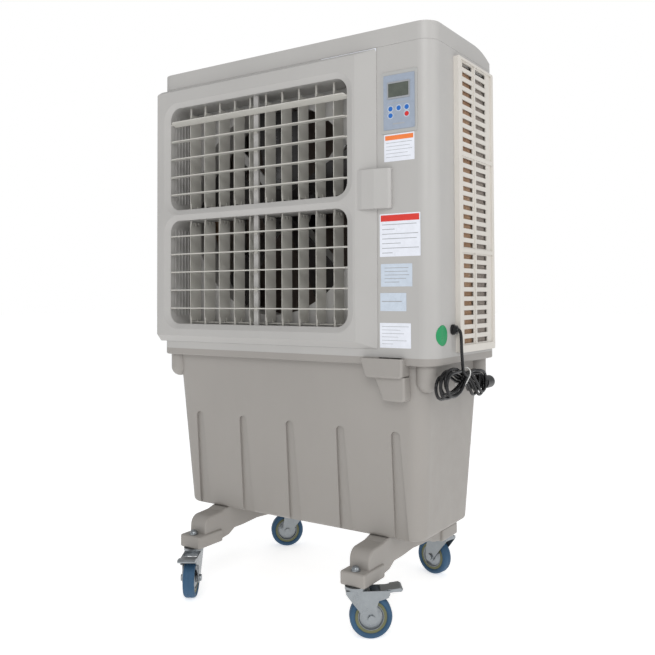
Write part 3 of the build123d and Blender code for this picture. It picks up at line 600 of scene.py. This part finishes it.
def make_labels():
    """Stickers where the cooler has printed ones: coloured headers and ruled lines, no lettering."""
    rows = [
        ("label_upper", 309, 390, 1113, 1178, PAPER, ORANGE, 12),
        ("label_middle", 295.5, 404, 887, 989, PAPER, RED, 16),
        ("label_rating", 298, 382, 816, 870, PALE_BLUE, None, 0),
        ("label_small", 296, 366, 758, 801, PALE_BLUE, None, 0),
        ("label_lower", 294.5, 377.5, 671, 730, PAPER, None, 0),
    ]
    for name, x0, x1, z0, z1, paper, header, band in rows:
        sticker(name, x0, x1, z0, z1, 0.0, LABEL_THICK, paper, 1.2)
        if header:
            low = z1 - band - 2
            sticker(name + "_band", x0 + 3, x1 - 3, low, z1 - 3, -LABEL_THICK, 0.12, header, 0.8)
    rules("label_upper", 314, 1158, (70, 64, 70, 58, 66), 8.5, 1.0)
    rules("label_middle", 302, 964, (92, 34, 96, 92, 50, 98, 28), 11.2, 1.6)
    rules("label_rating", 308, 861, (64, 62, 66, 58, 40), 8.4, 1.5)
    rules("label_small", 300, 782, (54,), 8, 2.2)
    rules("label_lower", 300, 722, (72, 50, 60, 44, 66, 30), 8.2, 1.0)
    sticker("roof_strip", 130, 289, 1384, 1391.5, -EDGE, 0.3, PAPER, 0.8)


DISC_S = 2.0                # the disc's middle, past the end of the corner's curve
DISC_Z = 701.0
DISC_R = 24.5
DISC_LIFT = 0.6             # its face off the wall
DISC_BACK = 0.02            # its back off the wall


def on_side(s, z, lift):
    """A point on the right wall: s runs from the end of the front corner's curve back along the side."""
    reach = CORNER_R + lift
    if s >= 0:
        return at(HALF_WIDTH + lift, CORNER_R + s, z)
    a = s / CORNER_R
    return at(HALF_WIDTH - CORNER_R + reach * math.cos(a), CORNER_R + reach * math.sin(a), z)


def make_disc():
    """The round green sticker that wraps the front right corner."""
    rings = 14
    steps = 48
    verts = [on_side(DISC_S, DISC_Z, DISC_LIFT)]
    faces = []
    for ring in range(1, rings + 2):
        radius = DISC_R * min(ring, rings) / rings
        lift = DISC_LIFT if ring <= rings else DISC_BACK
        for i in range(steps):
            a = 2 * math.pi * i / steps
            verts.append(on_side(DISC_S + radius * math.cos(a), DISC_Z + radius * math.sin(a), lift))
    for i in range(steps):
        j = (i + 1) % steps
        faces.append((0, 1 + i, 1 + j))
        for ring in range(rings):
            a = 1 + ring * steps
            b = a + steps
            faces.append((a + i, b + i, b + j, a + j))
    last = 1 + rings * steps
    faces.append(tuple(last + steps - 1 - i for i in range(steps)))
    add_object("green_disc", new_mesh("green_disc", verts, faces), GREEN, "cabinet")


# ---------------------------------------------------------------- wheels
# one half of each profile, as (radius, along the axle) from the inside outwards
TYRE = [(37.5, 11.8), (39.5, 14.2), (43.0, 15.2), (46.6, 14.6), (49.0, 12.0), (50.0, 8.0), (50.0, 2.4),
        (49.5, 1.8)]
RING = [(30.5, 11.5), (32.0, 12.6), (36.0, 12.4), (37.5, 11.4)]
RIM = [(5.1, 18.0), (9.5, 18.0), (10.5, 17.0), (11.0, 15.2), (14.0, 14.6), (19.0, 13.2), (24.0, 10.0),
       (26.5, 9.2), (28.2, 10.8), (29.4, 12.4), (30.5, 12.2)]


def both_sides(half):
    """A whole profile from the half of it on one side of the wheel's middle."""
    return [(radius, -along) for radius, along in half] + half[::-1]


def make_wheels():
    pieces = (("tyre", TYRE, MATERIALS["tyre"], "tyre"), ("ring", RING, OLIVE, "tyre"),
              ("rim", RIM, MATERIALS["zinc"], "zinc"))
    for corner in ("front_left", "front_right", "rear_left", "rear_right"):
        roll = joint(f"wheel_{corner}_roll")
        body = f"wheel_{corner}"
        for name, half, material, slot in pieces:
            profile = both_sides(half)
            piece = lathe(f"{name}_{corner}", profile, material, roll["pos_m"], roll["axis"], body, 96)
            if name == "tyre":
                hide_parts(f"wheel_{corner}")


# ---------------------------------------------------------------- cooling pads
PAD_GRID = 3.2              # the mesh's squares
FLUTE_WIDTH = 11.0
FLUTE_DEEP = 4.0
FLUTE_SLANT = 0.7           # sideways for each unit up


def pad_block(name, origin, across, up, out, depth):
    """A pad as a closed block whose outer face is folded into slanting flutes."""
    nu = int(across.length / MM / PAD_GRID)
    nv = int(up.length / MM / PAD_GRID)
    verts = []
    for j in range(nv + 1):
        for i in range(nu + 1):
            u, v = i / nu, j / nv
            a = (u * across.length / MM + FLUTE_SLANT * v * up.length / MM) / FLUTE_WIDTH * math.pi
            fold = abs(math.sin(a)) * FLUTE_DEEP + 0.5 * noise.noise(Vector((u * 40, v * 60, 0.3)))
            verts.append(origin + across * u + up * v - out * ((FLUTE_DEEP - fold) * MM))
    faces = []
    for j in range(nv):
        for i in range(nu):
            k = j * (nu + 1) + i
            faces.append((k, k + 1, k + nu + 2, k + nu + 1))
    rim = list(range(nu + 1))
    rim += [j * (nu + 1) + nu for j in range(1, nv + 1)]
    rim += [nv * (nu + 1) + i for i in range(nu - 1, -1, -1)]
    rim += [j * (nu + 1) for j in range(nv - 1, 0, -1)]
    base = len(verts)
    verts += [verts[r] - out * (out.dot(verts[r] - origin) + depth * MM) for r in rim]
    for k in range(len(rim)):
        m = (k + 1) % len(rim)
        faces.append((rim[m], rim[k], base + k, base + m))
    faces.append(tuple(base + k for k in range(len(rim) - 1, -1, -1)))
    mesh = new_mesh(name, verts, faces)
    return add_object(name, mesh, MATERIALS["pad_paper"], "cabinet", smooth=False)


SIDE_PAD_X = 440.5          # the side pads' outer faces
SIDE_PAD_Y = (136.0, 314.0)
SIDE_PAD_Z = 676.0
SIDE_PAD_TALL = 686.0
SIDE_PAD_DEPTH = 52.0
REAR_PAD_HALF = 380.0
REAR_PAD_Y = 366.4
REAR_PAD_Z = 664.0
REAR_PAD_TALL = 706.0
REAR_PAD_DEPTH = 48.0


def make_pads():
    front, back = SIDE_PAD_Y
    wide = Vector((0, (back - front) * MM, 0))
    tall = Vector((0, 0, SIDE_PAD_TALL * MM))
    out = Vector((1, 0, 0))
    right = pad_block("pad_right", at(SIDE_PAD_X, front, SIDE_PAD_Z), wide, tall, out, SIDE_PAD_DEPTH)
    pad_block("pad_left", at(-SIDE_PAD_X, back, SIDE_PAD_Z), -wide, tall, -out, SIDE_PAD_DEPTH)
    wide = Vector((-2 * REAR_PAD_HALF * MM, 0, 0))
    tall = Vector((0, 0, REAR_PAD_TALL * MM))
    out = Vector((0, 1, 0))
    pad_block("pad_rear", at(REAR_PAD_HALF, REAR_PAD_Y, REAR_PAD_Z), wide, tall, out, REAR_PAD_DEPTH)
    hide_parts("cooling_pads")


# ---------------------------------------------------------------- duct ribs
RIBS = 5
RIB_Y = 12.0                # the first rib, from the front wall
RIB_STEP = 13.0
RIB_END_GAP = 22.0          # from the ribs' ends to the duct's floor and roof
RIB_HEIGHT = 2.4            # how far a rib stands off its wall
RIB_FOOT = 2.2              # half of its width at the wall
RIB_TOP = 1.2               # half of its width at its top


def make_duct_ribs():
    """The shallow upright ribs moulded on the side walls of both ducts."""
    length = Vector((0, 0, 2 * (WINDOW_HALF_H - RIB_END_GAP) * MM))
    finish = MATERIALS["housing_plastic"]
    for window, middle in zip(("upper", "lower"), WINDOW_Z):
        low = middle - WINDOW_HALF_H + RIB_END_GAP
        for side, hand in ((-1, "left"), (1, "right")):
            wall = OUTLET_X + side * WINDOW_HALF_W
            top = wall - side * RIB_HEIGHT
            for i in range(RIBS):
                y = RIB_Y + i * RIB_STEP
                outline = [at(wall, y - RIB_FOOT, low), at(wall, y + RIB_FOOT, low),
                           at(top, y + RIB_TOP, low), at(top, y - RIB_TOP, low)]
                name = f"rib_{window}_{hand}_{i + 1}"
                add_prism(name, outline, length, finish, 0.4 * MM, 2)


# ---------------------------------------------------------------- louvre clips
CLIP_Y = 8.6
CLIP_THICK = 1.4
CLIP_HALF_W = 5.5
CLIP_HALF_H = 6.0


def make_clips():
    """The small clips that hold each louvre to the centre post."""
    left = OUTLET_X - CLIP_HALF_W
    right = OUTLET_X + CLIP_HALF_W
    forward = Vector((0, -CLIP_THICK * MM, 0))
    for window, middle in zip(("upper", "lower"), WINDOW_Z):
        for i in range(LOUVRES_PER_WINDOW):
            z = middle + (i - (LOUVRES_PER_WINDOW - 1) / 2) * LOUVRE_PITCH
            low = z - CLIP_HALF_H
            high = z + CLIP_HALF_H
            outline = [at(left, CLIP_Y, low), at(right, CLIP_Y, low),
                       at(right, CLIP_Y, high), at(left, CLIP_Y, high)]
            name = f"clip_{window}_{i + 1}"
            add_prism(name, outline, forward, MATERIALS["louvre_plastic"], 0.5 * MM)


# ---------------------------------------------------------------- the scene
make_camera()
make_stage()
dress_cad()
make_cord_pieces()
make_panel()
make_labels()
make_disc()
make_wheels()
make_pads()
make_duct_ribs()
make_clips()
